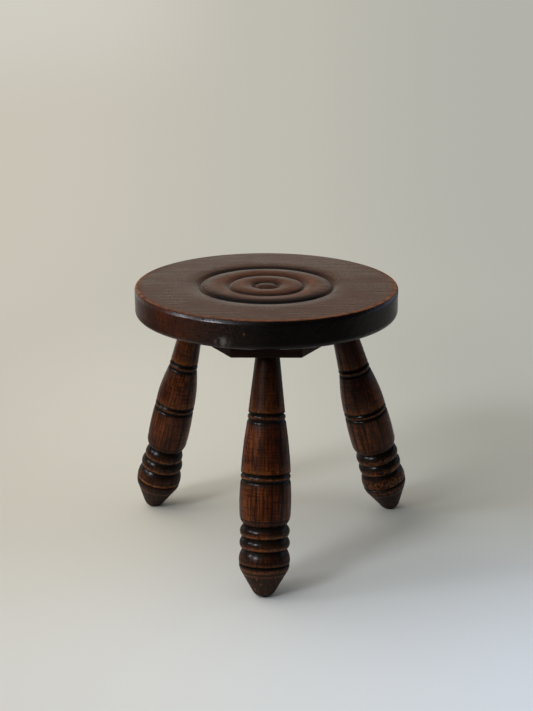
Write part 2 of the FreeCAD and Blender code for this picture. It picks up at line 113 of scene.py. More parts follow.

# Tones of the turned rings: share of the seat's radius, tone (dark with grime and painted shade in the
# grooves), wear
SEAT_RING_TONES = [
    (0, 0.7, 0),
    (0.060, 0.75, 0),
    (0.080, 0.7, 0),
    (0.093, 0.4, 0),
    (0.104, 0.6, 0),
    (0.125, 0.9, 0.1),
    (0.160, 1, 0.3),
    (0.215, 1, 0.25),
    (0.260, 0.95, 0.1),
    (0.277, 0.75, 0),
    (0.286, 0.25, 0),
    (0.297, 0.65, 0),
    (0.318, 0.9, 0.15),
    (0.360, 1, 0.4),
    (0.400, 1, 0.25),
    (0.440, 0.9, 0.05),
    (0.468, 0.5, 0),
    (0.488, 0.12, 0),
    (0.507, 0.02, 0),
    (0.524, 0.35, 0),
    (0.555, 0.8, 0),
    (0.600, 1, 0.03),
    (0.950, 1, 0.03),
    (0.969, 1, 0.2),
    (0.979, 1, 0.65),
    (0.990, 1, 0.7),
    (0.998, 1, 0.3),
]

# Small marks on the seat, as a place and a reach: dark nicks, and a chip that shows paler wood
SEAT_NICKS = [
    ((-0.0138, -0.0040, 0.2895), 0.0030),
    ((-0.0060, -0.0120, 0.2895), 0.0022),
    ((0.0105, 0.0020, 0.2895), 0.0018),
    ((-0.0620, -0.1262, 0.2905), 0.0013),
]
SEAT_CHIPS = [
    ((-0.0218, -0.1389, 0.2783), 0.0013),
]
MARK_STRETCH = (1, 0.45, 1)
MARK_CORE = 0.4

# Scuff on the front of the rim
SCUFF_PLACE = (-0.0430, -0.1338, 0.2690)
SCUFF_STRETCH = (1, 1, 1.5)
SCUFF_REACH = (0.0115, 0.002)

# Legs: where each stands and leans, heights on its axis, its grain, and the tones that are its own
LEGS = {
    "leg_front": {
        "foot": (-0.00217, -0.1488, 0),
        "heading_deg": -93.6,
        "splay_deg": 12.8,
        "neck": 0.0748,
        "rings": (0.1248, 0.1863),
        "heart": (0.012, 0.062),
        "seed": 1.7,
        "shake_deg": 44,
        "foot_tones": {},
        "specks": 0.35,
        "top_shade": 0.75,
    },
    "leg_right": {
        "foot": (0.14907, 0.06755, 0),
        "heading_deg": 16.4,
        "splay_deg": 16.1,
        "neck": 0.0809,
        "rings": (0.1324, 0.186),
        "heart": (-0.055, -0.02),
        "seed": 5.2,
        "shake_deg": -158,
        "foot_tones": {
            0.430: (0.25, 0),
            0.468: (0.25, 0),
            0.478: (0.9, 0.6),
            0.520: (0.8, 0.5),
            0.555: (0.9, 0.5),
            0.600: (0.7, 0.3),
            0.740: (0.9, 0.4),
            0.910: (0.8, 0.3),
        },
        "specks": 0.95,
        "top_shade": 0.45,
    },
    "leg_left": {
        "foot": (-0.1351, 0.07358, 0),
        "heading_deg": 156.3,
        "splay_deg": 13.9,
        "neck": 0.079,
        "rings": (0.135, 0.1876),
        "heart": (-0.06, 0.02),
        "seed": 9.4,
        "shake_deg": 152,
        "foot_tones": {
            0.388: (0.6, 0.1),
            0.420: (0.4, 0),
            0.468: (0.7, 0.6),
            0.478: (1, 1),
        },
        "specks": 0.45,
        "top_shade": 0.45,
    },
}

# Heights that the two ramps of a leg span, and where they meet, as a share of the neck's height
FOOT_RAMP_LENGTH = 0.095
LEG_LENGTH = 0.275
RAMPS_MEET = 1.1

# Tones of a leg's foot: share of the height of its neck, tone (dark with grime and with painted shade in
# the necks, the grooves and under the beads), wear
FOOT_TONES = [
    (0, 0.3, 0),
    (0.05, 0.5, 0.1),
    (0.290, 0.45, 0),
    (0.325, 0.95, 0.5),
    (0.345, 0.6, 0.2),
    (0.355, 0.2, 0),
    (0.366, 0.6, 0.1),
    (0.388, 1, 0.5),
    (0.420, 0.7, 0.2),
    (0.430, 0.03, 0),
    (0.468, 0.03, 0),
    (0.478, 0.9, 0.4),
    (0.520, 0.35, 0),
    (0.555, 0.65, 0),
    (0.600, 0.4, 0),
    (0.630, 0.12, 0),
    (0.672, 0.03, 0),
    (0.683, 0.6, 0.2),
    (0.700, 1, 0.8),
    (0.740, 0.5, 0),
    (0.775, 0.3, 0),
    (0.800, 0.06, 0),
    (0.842, 0.03, 0),
    (0.852, 0.6, 0.2),
    (0.868, 1, 0.7),
    (0.910, 0.5, 0),
    (0.948, 0.3, 0),
    (0.975, 0.05, 0),
    (1.008, 0.03, 0),
    (1.025, 0.55, 0),
    (1.072, 0.8, 0),
    (1.080, 0.3, 0),
]

# Tones round a pair of ring grooves: height from the middle of their bead, tone (dark with grime and
# painted shade in the grooves), wear
RING_TONES = [
    (-0.0150, 1, 0),
    (-0.0090, 0.85, 0),
    (-0.0056, 0.4, 0),
    (-0.0047, 0.02, 0),
    (-0.0019, 0.02, 0),
    (-0.0010, 0.6, 0.1),
    (-0.0001, 1, 0.65),
    (0.0008, 0.6, 0.1),
    (0.0016, 0.02, 0),
    (0.0046, 0.02, 0),
    (0.0054, 0.6, 0.1),
    (0.0062, 1, 0.35),
    (0.0100, 1, 0.2),
    (0.0150, 1, 0),
]

# Stain and wear, grime, and the painted shade of grooves, rim and leg tops, as screen colours
LEG_STAIN = (112, 58, 25)
LEG_RED = (68, 25, 10)
LEG_DARK = (26, 12, 7)
LEG_SHADED = (22, 7, 3)
LEG_WORN = (158, 90, 42)
FOOT_GREY = (46, 33, 26)
SEAT_STAIN = (74, 47, 31)
SEAT_RED = (76, 43, 27)
SEAT_DARK = (26, 16, 11)
SEAT_WORN = (156, 88, 46)
RIM_STAIN = (72, 34, 18)
RIM_BLACK = (12, 8, 6)
RIM_GREY = (52, 42, 37)
SCUFF_GREY = (132, 126, 120)
GRIME_AND_SHADE_BLACK = (8, 6, 5)
BLOCK_STAIN = (62, 38, 27)
BARE_WOOD = (186, 150, 108)
PLAIN_WOOD_DARK = 0.45
STEEL = (120, 116, 110)

# Gloss of the wood under its polish, and the polish on it as a strength and a roughness
SEAT_GLOSS = 0.36
LEG_GLOSS = 0.1
DRY_GLOSS = 0.14
SEAT_POLISH = (0.10, 0.24)
LEG_POLISH = (0.38, 0.25)
NO_POLISH = (0, 0.1)
LEG_SHINE = (255, 226, 184)

# Depth of each surface's relief
SEAT_RELIEF = 0.0002
LEG_RELIEF = 0.0004
PLAIN_RELIEF = 0.0003
STEEL_RELIEF = 0.0001

# Growth rings: heart of the tree, seed, spacing, and how far they wander in spacings
SEAT_HEART = (0.03, 0.22)
SEAT_SEED = 3.1
SEAT_RING_SPACING = 0.0075
PLAIN_HEART = (0.1, 0.1)
PLAIN_SEED = 6.3
PLAIN_RING_SPACING = 0.006
BOARD_WANDER = 1.8
LEG_RING_SPACING = 0.0042
LEG_WANDER = 3.6

# Stretches of coordinates: 1 keeps a direction, less draws the noise out along it
DRIFT_STRETCH = (1, 1, 0.25)
FIBRE_STRETCH = (1, 1, 0.045)
PORE_STRETCH = (1, 1, 0.09)
BLOTCH_STRETCH = (1, 1, 0.5)
STREAK_STRETCH = (1, 1, 0.06)
TOOL_STRETCH = (0.05, 0.05, 1)
ALONG_ONLY = (0, 0, 1)
ACROSS_ONLY = (1, 1, 0)

# Noises: bumps per metre, detail, roughness
DRIFT_NOISE = (34, 3, 0.55)
FIBRE_NOISE = (620, 3, 0.6)
PORE_NOISE = (900, 2, 0.5)
BLOTCH_NOISE = (38, 4, 0.6)
TOOL_NOISE = (780, 2, 0.6)
STREAK_NOISE = (190, 3, 0.65)
SHAKE_NOISE = (30, 2, 0.55)
LEG_WOBBLE_NOISE = (120, 2, 0.55)
LEG_WEAR_NOISE = (270, 3, 0.65)
SPECK_NOISE = (400, 3, 0.7)
BRUISE_NOISE = (240, 4, 0.7)
FOOT_CHIP_NOISE = (310, 3, 0.7)
SEAT_WOBBLE_NOISE = (60, 2, 0.55)
SEAT_WEAR_NOISE = (130, 4, 0.65)
RIM_MOTTLE_NOISE = (240, 4, 0.65)
RIM_SPECK_NOISE = (520, 3, 0.7)
SCUFF_NOISE = (230, 4, 0.55)
NICK_NOISE = (480, 2, 0.55)
STEEL_NOISE = (900, 4, 0.55)
NOISE_MIDDLE = 0.5
WOBBLE_REACH = 0.0012

# Fades of all woods: where each starts and is full, and its two shares if not 0 and 1
LATE_WOOD_STARTS = (0.45, 0.9)
LATE_WOOD_ENDS = (1, 0.93)
STAIN_BLOTCHES = (0.35, 0.68)

# Fades and shares of a leg, by noise, height or wear
LEG_STREAKS = (0.54, 0.66, 0, 0.75)
LEG_LATE_WOOD = 0.5
LEG_FIBRES = (0.44, 0.6, 0, 0.6)
LEG_PORES = (0.60, 0.70, 0, 0.85)
LEG_TOOL_MARKS = (0.46, 0.6, 0, 0.6)
LEG_WEAR_PATCHES = (0.38, 0.6, 0.15, 1)
LEG_WEAR = 0.8
SHAKE_WIDTH = (0.11, 0.03, 0, 0.85)
SHAKE_DRIFT = 0.3
SPECKS = (0.47, 0.56)
SPECKS_END = 1.02
SPECKS_FULL = 0.96
TOP_SHADE_HEIGHT = (0.17, 0.235)
BRUISES = (0.42, 0.58, 0.25, 0.75)
DUST_HEIGHT = (0.034, 0.02)
FOOT_CHIPS = (0.62, 0.67)
FOOT_CHIP_HEIGHT = (0.03, 0.022, 0, 0.6)
LEG_ROUGHNESS = (0.3, 0.7, 0.26, 0.38)
LEG_WEAR_ROUGHNESS = 0.12
LEG_GROOVE_ROUGHNESS = (1, 0.3, 0, 0.4)
LEG_FIBRE_RELIEF = 0.5
LEG_LATE_RELIEF = 0.5
LEG_TOOL_RELIEF = 0.4

# Fades and shares of the seat's top, by noise, radius or side
SEAT_LATE_WOOD = 0.15
SEAT_FIBRES = (0.42, 0.66, 0, 0.25)
SEAT_PORES = (0.60, 0.72, 0, 0.6)
SEAT_WEAR_PATCHES = (0.36, 0.6, 0.1, 0.95)
SEAT_WEAR = 0.85
FACING_LEAST_RADIUS = 0.02
# Painted shade: the dark of the grooves is moved by this share of the radius onto the walls that face the
# front
SHADE_SHIFT = 0.012
SEAT_ENDS = (0.7, 0.98)
# The grime and painted shade of the grooves grow paler by this share towards the left and right ends
PALER_ENDS = 0.72
END_WEAR_BAND = (0.92, 0.97)
END_WEAR = 0.25
BACK_WEAR = (0.95, 0.3, 0.45, 1)
RAGGED_NICKS = (0.4, 0.5, 0.3, 1)
NICK_SHARE = 0.9
CHIP_SHARE = 0.6
SEAT_ROUGHNESS = (0.3, 0.7, 0.22, 0.32)
SEAT_GROOVE_ROUGHNESS = (1, 0.3, 0, 0.3)
SEAT_WEAR_ROUGHNESS = 0.4
NICK_ROUGHNESS = 0.6
SEAT_FIBRE_RELIEF = 0.4
SEAT_LATE_RELIEF = 0.25
NICK_RELIEF = 4

# Fades and shares of the seat's rim: where it starts as a share of its edge, then by side and noise
RIM_STARTS = 0.08
RIM_FULL = 0.28
RIM_BAND = (0.9, 0.95)
# Painted shade: the rim darkens from the left towards the right, away from the windows
RIM_SHADE_RIGHTWARDS = (-0.75, -0.1)
RIM_BLOTCHES = (0.3, 0.7, 0, 0.6)
RIM_MOTTLE = (0.45, 0.7, 0, 0.45)
RIM_PORES = (0.55, 0.68, 0, 0.7)
VEIL_STARTS = (-0.75, -0.45)
VEIL_ENDS = (0.1, -0.3)
VEIL_SPECKS = (0.45, 0.6, 0.15, 0.75)
SCUFF_PATCHES = (0.38, 0.6)
SCUFF_SHARE = 0.5
EDGE_RELIEF_TOP = 0.0014
EDGE_RELIEF_FOOT = 0.005
EDGE_RELIEF = 6.5

# Fades and shares of plain wood and steel
PLAIN_BLOTCHES = (0.3, 0.7, 0, 0.5)
PLAIN_LATE_WOOD = 0.4
PLAIN_FIBRES = (0.42, 0.66, 0, 0.4)
PLAIN_PORES = (0.6, 0.7, 0, 0.6)
BLOCK_ROUGHNESS = 0.55
WEDGE_ROUGHNESS = 0.6
STEEL_METALLIC = 0.9
STEEL_SPOTS = (0.4, 0.65)
STEEL_ROUGHNESS = (0.3, 0.7, 0.35, 0.6)


def linear(colour):
    """Turn a screen colour of 0 to 255 into the linear colour that shaders take."""
    channels = []
    for value in colour:
        share = value / 255
        channels.append(share / 12.92 if share <= 0.04045 else ((share + 0.055) / 1.055) ** 2.4)
    return (*channels, 1)


def add_node(tree, kind, inputs=None, **settings):
    """Add a node, and give its inputs values or links."""
    node = tree.nodes.new(kind)
    for name, value in settings.items():
        setattr(node, name, value)
    for key, value in (inputs or {}).items():
        if isinstance(value, bpy.types.NodeSocket):
            tree.links.new(value, node.inputs[key])
        else:
            node.inputs[key].default_value = value
    return node


def maths(tree, operation, first, second=0, clamp=False):
    """Add a sum and return its result."""
    node = add_node(tree, "ShaderNodeMath", {0: first, 1: second}, operation=operation, use_clamp=clamp)
    return node.outputs[0]


def plus(tree, first, second, clamp=False):
    """Add two values."""
    return maths(tree, "ADD", first, second, clamp)


def minus(tree, first, second, clamp=False):
    """Take the second value from the first."""
    return maths(tree, "SUBTRACT", first, second, clamp)


def times(tree, first, second):
    """Multiply two values."""
    return maths(tree, "MULTIPLY", first, second)


def over(tree, first, second):
    """Divide the first value by the second."""
    return maths(tree, "DIVIDE", first, second)


def length_of(tree, vector):
    """Return the length of a vector."""
    return add_node(tree, "ShaderNodeVectorMath", {0: vector}, operation="LENGTH").outputs["Value"]


def parts_of(tree, vector):
    """Split a vector or colour into its three values."""
    return add_node(tree, "ShaderNodeSeparateXYZ", {0: vector}).outputs


def blend(tree, share, first, second):
    """Mix two colours and return the result."""
    return add_node(tree, "ShaderNodeMix", {0: share, 6: first, 7: second}, data_type="RGBA").outputs[2]


def cover(tree, colour, share, screen_colour):
    """Cover a share of a colour with a screen colour."""
    return blend(tree, share, colour, linear(screen_colour))


def span(tree, value, low, high, to_low=0, to_high=1):
    """Carry a value smoothly from one range to another, held at both ends."""
    inputs = {"Value": value, "From Min": low, "From Max": high, "To Min": to_low, "To Max": to_high}
    return add_node(tree, "ShaderNodeMapRange", inputs, interpolation_type="SMOOTHSTEP").outputs[0]


def mapped(tree, vector, scale=(1, 1, 1), shift=(0, 0, 0)):
    """Stretch and shift coordinates."""
    inputs = {"Vector": vector, "Scale": scale, "Location": shift}
    return add_node(tree, "ShaderNodeMapping", inputs).outputs[0]


def noise(tree, vector, kind):
    """Return a noise value; its kind is a scale, a detail and a roughness."""
    scale, detail, roughness = kind
    inputs = {"Vector": vector, "Scale": scale, "Detail": detail, "Roughness": roughness}
    return add_node(tree, "ShaderNodeTexNoise", inputs).outputs[0]


def ramp(tree, value, stops):
    """Return a colour ramp's colour; stops are (place, red, green)."""
    node = add_node(tree, "ShaderNodeValToRGB", {0: value})
    elements = node.color_ramp.elements
    while len(elements) > 1:
        elements.remove(elements[-1])
    for number, (place, red, green) in enumerate(stops):
        element = elements[0] if number == 0 else elements.new(place)
        element.position = place
        element.color = (red, green, 0, 1)
    return node.outputs[0]


def distance_from(tree, place, spot, stretch):
    """Return how far a place is from a spot, with each direction stretched."""
    shift = tuple(-along * scale for along, scale in zip(spot, stretch))
    return length_of(tree, mapped(tree, place, stretch, shift))


def wobble(tree, place, kind):
    """Return a small shift to both sides, so that turned lines aren't quite true."""
    return times(tree, minus(tree, noise(tree, place, kind), NOISE_MIDDLE), WOBBLE_REACH)


def new_material(name):
    """Return a new material, its node tree, its shader and its object coordinates."""
    material = bpy.data.materials.new(name)
    material.use_nodes = True
    tree = material.node_tree
    shader = tree.nodes["Principled BSDF"]
    place = add_node(tree, "ShaderNodeTexCoord").outputs["Object"]
    return material, tree, shader, place


def finish_shader(tree, shader, colour, roughness, height, depth, gloss=DRY_GLOSS, polish=NO_POLISH):
    """Give a shader its colour, its roughness, its gloss and its relief."""
    shader.inputs["Specular IOR Level"].default_value = gloss
    shader.inputs["Coat Weight"].default_value = polish[0]
    shader.inputs["Coat Roughness"].default_value = polish[1]
    tree.links.new(colour, shader.inputs["Base Color"])
    if isinstance(roughness, bpy.types.NodeSocket):
        tree.links.new(roughness, shader.inputs["Roughness"])
    else:
        shader.inputs["Roughness"].default_value = roughness
    relief = add_node(tree, "ShaderNodeBump", {"Strength": 1, "Distance": depth, "Height": height})
    tree.links.new(relief.outputs[0], shader.inputs["Normal"])


def grain(tree, place, heart, seed, spacing, wander):
    """Return growth rings, fibres, pores and blotches of wood that runs along Z."""
    moved = mapped(tree, place, shift=(seed, 0, 0))
    drift = noise(tree, mapped(tree, moved, DRIFT_STRETCH), DRIFT_NOISE)
    from_heart = length_of(tree, mapped(tree, place, ACROSS_ONLY, (-heart[0], -heart[1], 0)))
    rings = plus(tree, over(tree, from_heart, spacing), times(tree, drift, wander))
    saw = maths(tree, "FRACT", rings)
    late = times(tree, span(tree, saw, *LATE_WOOD_STARTS), span(tree, saw, *LATE_WOOD_ENDS))
    fibre = noise(tree, mapped(tree, moved, FIBRE_STRETCH), FIBRE_NOISE)
    pores = noise(tree, mapped(tree, moved, PORE_STRETCH), PORE_NOISE)
    blotch = noise(tree, mapped(tree, moved, BLOTCH_STRETCH), BLOTCH_NOISE)
    return late, fibre, pores, blotch


def laid_down(tree, place):
    """Turn coordinates so that grain along Z lies along X."""
    across, back, up = parts_of(tree, place)
    return add_node(tree, "ShaderNodeCombineXYZ", {0: back, 1: up, 2: across}).outputs[0]


def leg_place(tree, place, leg):
    """Return coordinates with their Z along the leg's axis, from the floor up."""
    lean = (0, -math.radians(leg["splay_deg"]), math.radians(leg["heading_deg"]))
    inputs = {"Vector": place, "Location": leg["foot"], "Rotation": lean}
    return add_node(tree, "ShaderNodeMapping", inputs, vector_type="TEXTURE").outputs[0]


def leg_tones(tree, height, leg):
    """Return the tone and the wear of a leg's turned rings; the tone is grime and painted shade in the
    necks and grooves.
    """
    meet = leg["neck"] * RAMPS_MEET
    foot_stops = []
    for share, tone, wear in FOOT_TONES:
        tone, wear = leg["foot_tones"].get(share, (tone, wear))
        foot_stops.append((share * leg["neck"] / FOOT_RAMP_LENGTH, tone, wear))
    ring_stops = [(meet / LEG_LENGTH, 1, 0)]
    for middle in leg["rings"]:
        for above, tone, wear in RING_TONES:
            ring_stops.append(((middle + above) / LEG_LENGTH, tone, wear))
    low = ramp(tree, over(tree, height, FOOT_RAMP_LENGTH), foot_stops)
    high = ramp(tree, over(tree, height, LEG_LENGTH), ring_stops)
    is_high = maths(tree, "GREATER_THAN", height, meet)
    tone, wear, _ = parts_of(tree, blend(tree, is_high, low, high))
    return tone, wear


def leg_shake(tree, local, leg):
    """Return where the dark shake runs up the leg."""
    outward, sideways, _ = parts_of(tree, local)
    direction = maths(tree, "ARCTAN2", sideways, outward)
    drift = noise(tree, mapped(tree, local, ALONG_ONLY, (leg["seed"], 0, 0)), SHAKE_NOISE)
    direction = plus(tree, direction, times(tree, drift, SHAKE_DRIFT))
    middle = math.radians(leg["shake_deg"]) + NOISE_MIDDLE * SHAKE_DRIFT
    return span(tree, maths(tree, "ABSOLUTE", minus(tree, direction, middle)), *SHAKE_WIDTH)


def leg_material(name, leg):
    """Turned, stained and waxed wood, worn on the crests and dark with grime and painted shade in the
    grooves.
    """
    material, tree, shader, place = new_material(name)
    local = leg_place(tree, place, leg)
    tree_rings = (leg["heart"], leg["seed"], LEG_RING_SPACING, LEG_WANDER)
    late, fibre, pores, blotch = grain(tree, local, *tree_rings)
    tool = noise(tree, mapped(tree, local, TOOL_STRETCH), TOOL_NOISE)
    streak = noise(tree, mapped(tree, local, STREAK_STRETCH, (leg["seed"], 0, 0)), STREAK_NOISE)
    height = plus(tree, parts_of(tree, local)[2], wobble(tree, local, LEG_WOBBLE_NOISE))
    tone, wear = leg_tones(tree, height, leg)

    colour = blend(tree, span(tree, blotch, *STAIN_BLOTCHES), linear(LEG_STAIN), linear(LEG_RED))
    colour = cover(tree, colour, span(tree, streak, *LEG_STREAKS), LEG_DARK)
    colour = cover(tree, colour, times(tree, late, LEG_LATE_WOOD), LEG_DARK)
    colour = cover(tree, colour, span(tree, fibre, *LEG_FIBRES), LEG_DARK)
    colour = cover(tree, colour, span(tree, pores, *LEG_PORES), GRIME_AND_SHADE_BLACK)
    colour = cover(tree, colour, span(tree, tool, *LEG_TOOL_MARKS), LEG_DARK)
    colour = cover(tree, colour, leg_shake(tree, local, leg), GRIME_AND_SHADE_BLACK)
    patches = span(tree, noise(tree, local, LEG_WEAR_NOISE), *LEG_WEAR_PATCHES)
    colour = cover(tree, colour, times(tree, times(tree, wear, patches), LEG_WEAR), LEG_WORN)
    specks = span(tree, noise(tree, local, SPECK_NOISE), *SPECKS, 0, leg["specks"])
    in_foot = span(tree, height, leg["neck"] * SPECKS_END, leg["neck"] * SPECKS_FULL)
    colour = cover(tree, colour, times(tree, specks, in_foot), GRIME_AND_SHADE_BLACK)
    # Grime and painted shade: darker where the tone is low, in the necks, the grooves and under the beads
    colour = cover(tree, colour, minus(tree, 1, tone, True), GRIME_AND_SHADE_BLACK)
    colour = cover(tree, colour, span(tree, height, *TOP_SHADE_HEIGHT, 0, leg["top_shade"]), LEG_SHADED)
    bruises = span(tree, noise(tree, local, BRUISE_NOISE), *BRUISES)
    colour = cover(tree, colour, times(tree, span(tree, height, *DUST_HEIGHT), bruises), FOOT_GREY)
    chips = span(tree, noise(tree, local, FOOT_CHIP_NOISE), *FOOT_CHIPS)
    colour = cover(tree, colour, times(tree, chips, span(tree, height, *FOOT_CHIP_HEIGHT)), LEG_WORN)

    rough = plus(tree, span(tree, blotch, *LEG_ROUGHNESS), times(tree, wear, LEG_WEAR_ROUGHNESS))
    rough = plus(tree, rough, span(tree, tone, *LEG_GROOVE_ROUGHNESS))
    relief = minus(tree, times(tree, fibre, LEG_FIBRE_RELIEF), times(tree, late, LEG_LATE_RELIEF))
    relief = plus(tree, relief, times(tree, tool, LEG_TOOL_RELIEF))
    finish_shader(tree, shader, colour, rough, relief, LEG_RELIEF, LEG_GLOSS, LEG_POLISH)
    shader.inputs["Specular Tint"].default_value = linear(LEG_SHINE)
    return material


def marks_mask(tree, place, marks):
    """Return where the small marks lie, as 0 to 1."""
    mask = 0
    for spot, reach in marks:
        distance = distance_from(tree, place, spot, MARK_STRETCH)
        mask = maths(tree, "MAXIMUM", mask, span(tree, distance, reach, reach * MARK_CORE))
    return mask


def seat_tones(tree, share, facing, side):
    """Return the tone and the wear of the seat's rings, by radius and by the way they face: the tone is
    grime and painted shade in the grooves.
    """
    # Painted shade: the grooves' dark moves onto walls that face the front, and is paler at the ends
    shade_share = minus(tree, share, times(tree, facing, SHADE_SHIFT))
    tone, wear, _ = parts_of(tree, ramp(tree, shade_share, SEAT_RING_TONES))
    ends = span(tree, maths(tree, "ABSOLUTE", side), *SEAT_ENDS)
    tone = plus(tree, tone, times(tree, minus(tree, 1, tone), times(tree, ends, PALER_ENDS)))
    worn_ends = times(tree, span(tree, share, *END_WEAR_BAND), times(tree, ends, END_WEAR))
    wear = times(tree, wear, span(tree, facing, *BACK_WEAR))
    return tone, plus(tree, wear, worn_ends, True)


def seat_rim_colour(tree, place, side, pores, blotch):
    """Return the colour of the rim: a dark stain, redder at the left and nearly black at the right where
    painted shade darkens it, with a grey veil.
    """
    # Painted shade: the rim's stain turns nearly black towards the right, away from the windows
    colour = blend(tree, span(tree, side, *RIM_SHADE_RIGHTWARDS), linear(RIM_STAIN), linear(RIM_BLACK))
    colour = cover(tree, colour, span(tree, blotch, *RIM_BLOTCHES), RIM_BLACK)
    colour = cover(tree, colour, span(tree, noise(tree, place, RIM_MOTTLE_NOISE), *RIM_MOTTLE), RIM_BLACK)
    veil = times(tree, span(tree, side, *VEIL_STARTS), span(tree, side, *VEIL_ENDS))
    specks = span(tree, noise(tree, place, RIM_SPECK_NOISE), *VEIL_SPECKS)
    colour = cover(tree, colour, times(tree, veil, specks), RIM_GREY)
    colour = cover(tree, colour, span(tree, pores, *RIM_PORES), GRIME_AND_SHADE_BLACK)
    scuff = span(tree, distance_from(tree, place, SCUFF_PLACE, SCUFF_STRETCH), *SCUFF_REACH)
    scuff = times(tree, scuff, span(tree, noise(tree, place, SCUFF_NOISE), *SCUFF_PATCHES))
    return cover(tree, colour, times(tree, scuff, SCUFF_SHARE), SCUFF_GREY)


def seat_material():
    """Turned, stained and waxed board, worn on its crests and edge, with grime and painted shade in its
    grooves, darker and scuffed on its rim, where painted shade darkens it towards the right.
    """
    material, tree, shader, place = new_material("seat_wood")
    board = laid_down(tree, place)
    tree_rings = (SEAT_HEART, SEAT_SEED, SEAT_RING_SPACING, BOARD_WANDER)
    late, fibre, pores, blotch = grain(tree, board, *tree_rings)
    across, back, up = parts_of(tree, place)
    radius = length_of(tree, mapped(tree, place, ACROSS_ONLY))
    share = over(tree, plus(tree, radius, wobble(tree, place, SEAT_WOBBLE_NOISE)), SEAT_RADIUS)
    facing = over(tree, back, maths(tree, "MAXIMUM", radius, FACING_LEAST_RADIUS))
    side = over(tree, across, radius)
    tone, wear = seat_tones(tree, share, facing, side)

    colour = blend(tree, span(tree, blotch, *STAIN_BLOTCHES), linear(SEAT_STAIN), linear(SEAT_RED))
    colour = cover(tree, colour, times(tree, late, SEAT_LATE_WOOD), SEAT_DARK)
    colour = cover(tree, colour, span(tree, fibre, *SEAT_FIBRES), SEAT_DARK)
    colour = cover(tree, colour, span(tree, pores, *SEAT_PORES), GRIME_AND_SHADE_BLACK)
    patches = span(tree, noise(tree, place, SEAT_WEAR_NOISE), *SEAT_WEAR_PATCHES)
    colour = cover(tree, colour, times(tree, times(tree, wear, patches), SEAT_WEAR), SEAT_WORN)
    # Grime and painted shade: darker where the tone is low, in the grooves
    colour = cover(tree, colour, minus(tree, 1, tone, True), GRIME_AND_SHADE_BLACK)
    on_rim = span(tree, up, SEAT_TOP - SEAT_EDGE * RIM_STARTS, SEAT_TOP - SEAT_EDGE * RIM_FULL)
    on_rim = times(tree, on_rim, span(tree, share, *RIM_BAND))
    colour = blend(tree, on_rim, colour, seat_rim_colour(tree, place, side, pores, blotch))
    ragged = span(tree, noise(tree, place, NICK_NOISE), *RAGGED_NICKS)
    nicks = times(tree, marks_mask(tree, place, SEAT_NICKS), ragged)
    colour = cover(tree, colour, times(tree, nicks, NICK_SHARE), GRIME_AND_SHADE_BLACK)
    chips = marks_mask(tree, place, SEAT_CHIPS)
    colour = cover(tree, colour, times(tree, chips, CHIP_SHARE), SEAT_WORN)

    rough = plus(tree, span(tree, blotch, *SEAT_ROUGHNESS), span(tree, tone, *SEAT_GROOVE_ROUGHNESS))
    worn_top = times(tree, wear, minus(tree, 1, on_rim))
    rough = plus(tree, rough, times(tree, worn_top, SEAT_WEAR_ROUGHNESS))
    rough = plus(tree, rough, times(tree, nicks, NICK_ROUGHNESS), True)
    relief = minus(tree, times(tree, fibre, SEAT_FIBRE_RELIEF), times(tree, late, SEAT_LATE_RELIEF))
    relief = minus(tree, relief, times(tree, nicks, NICK_RELIEF))
    edge = span(tree, up, SEAT_TOP - EDGE_RELIEF_TOP, SEAT_TOP - EDGE_RELIEF_FOOT, 0, EDGE_RELIEF)
    relief = plus(tree, relief, edge)
    finish_shader(tree, shader, colour, rough, relief, SEAT_RELIEF, SEAT_GLOSS, SEAT_POLISH)
    return material


def plain_wood(name, stain, roughness):
    """Plain wood with fine fibres, for the block and the wedges."""
    material, tree, shader, place = new_material(name)
    board = laid_down(tree, place)
    tree_rings = (PLAIN_HEART, PLAIN_SEED, PLAIN_RING_SPACING, BOARD_WANDER)
    late, fibre, pores, blotch = grain(tree, board, *tree_rings)
    dark = tuple(value * PLAIN_WOOD_DARK for value in stain)
    colour = blend(tree, span(tree, blotch, *PLAIN_BLOTCHES), linear(stain), linear(dark))
    colour = cover(tree, colour, times(tree, late, PLAIN_LATE_WOOD), dark)
    colour = cover(tree, colour, span(tree, fibre, *PLAIN_FIBRES), dark)
    colour = cover(tree, colour, span(tree, pores, *PLAIN_PORES), dark)
    finish_shader(tree, shader, colour, roughness, fibre, PLAIN_RELIEF)
    return material


def steel_material():
    """Dull steel with the marks of use."""
    material, tree, shader, place = new_material("screw_steel")
    spots = noise(tree, place, STEEL_NOISE)
    colour = blend(tree, span(tree, spots, *STEEL_SPOTS), linear(STEEL), linear(BLOCK_STAIN))
    shader.inputs["Metallic"].default_value = STEEL_METALLIC
    finish_shader(tree, shader, colour, span(tree, spots, *STEEL_ROUGHNESS), spots, STEEL_RELIEF)
    return material


def dress(node, material):
    """Give a piece its only material."""
    node.data.materials.clear()
    node.data.materials.append(material)


def make_camera():
    """Place the camera where the picture's perspective puts it."""
    data = bpy.data.cameras.new("camera")
    data.sensor_width = SENSOR_WIDTH_MM
    data.lens = SENSOR_WIDTH_MM * FOCAL_PIXELS / PICTURE_HEIGHT
    data.clip_start = CLIP_NEAR
    data.clip_end = CLIP_FAR
    camera = bpy.data.objects.new("camera", data)
    bpy.context.scene.collection.objects.link(camera)
    camera.location = CAMERA_PLACE
    level = Euler((math.radians(90 - CAMERA_PITCH_DEG), 0, -math.radians(CAMERA_YAW_DEG))).to_matrix()
    turned = level @ Matrix.Rotation(math.radians(CAMERA_ROLL_DEG), 3, "Z")
    camera.rotation_euler = turned.to_euler()
    bpy.context.scene.camera = camera


def make_windows():
    """Place the soft window lights."""
    for name, direction, width, strength, colour in WINDOWS:
        data = bpy.data.lights.new(name, "SUN")
        data.angle = math.radians(width)
        data.energy = strength
        data.color = linear(colour)[:3]
        window = bpy.data.objects.new(name, data)
        bpy.context.scene.collection.objects.link(window)
        window.rotation_euler = Vector(direction).to_track_quat("Z", "Y").to_euler()


